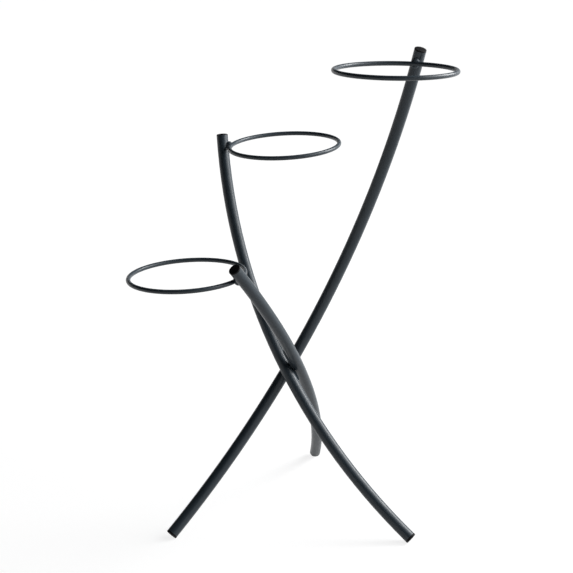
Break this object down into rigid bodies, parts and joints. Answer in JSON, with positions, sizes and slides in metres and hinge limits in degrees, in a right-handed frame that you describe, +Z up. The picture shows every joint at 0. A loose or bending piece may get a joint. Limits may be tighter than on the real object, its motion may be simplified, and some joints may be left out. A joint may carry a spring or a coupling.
{
  "type": "plant stand",
  "caption": "Free-standing plant stand of bent steel tubes that cross and hold each other near the middle, each tube ending in a plug beside a rod ring for a flower pot.",
  "frame": {"origin": "middle of the stand's box, on the floor that its feet stand on", "axes": "+Z up; -Y towards the side that the picture shows, +X to the right in the picture"},
  "size_m": [0.4376, 0.3626, 0.6457],
  "materials": {
    "powder_coat": "satin",
    "black_plastic": "matte"
  },
  "bodies": {
    "root": {"tall_leg_tube": "powder_coat", "middle_leg_tube": "powder_coat", "short_leg_tube": "powder_coat", "tall_pot_ring": "powder_coat", "middle_pot_ring": "powder_coat", "short_pot_ring": "powder_coat", "tall_ring_weld": "powder_coat", "middle_ring_weld": "powder_coat", "short_ring_weld": "powder_coat", "tall_middle_crossing_weld": "powder_coat", "middle_short_crossing_weld": "powder_coat", "short_tall_crossing_weld": "powder_coat", "tall_foot_plug": "black_plastic", "middle_foot_plug": "black_plastic", "short_foot_plug": "black_plastic", "tall_top_plug": "black_plastic", "middle_top_plug": "black_plastic", "short_top_plug": "black_plastic"}
  },
  "joints": []
}
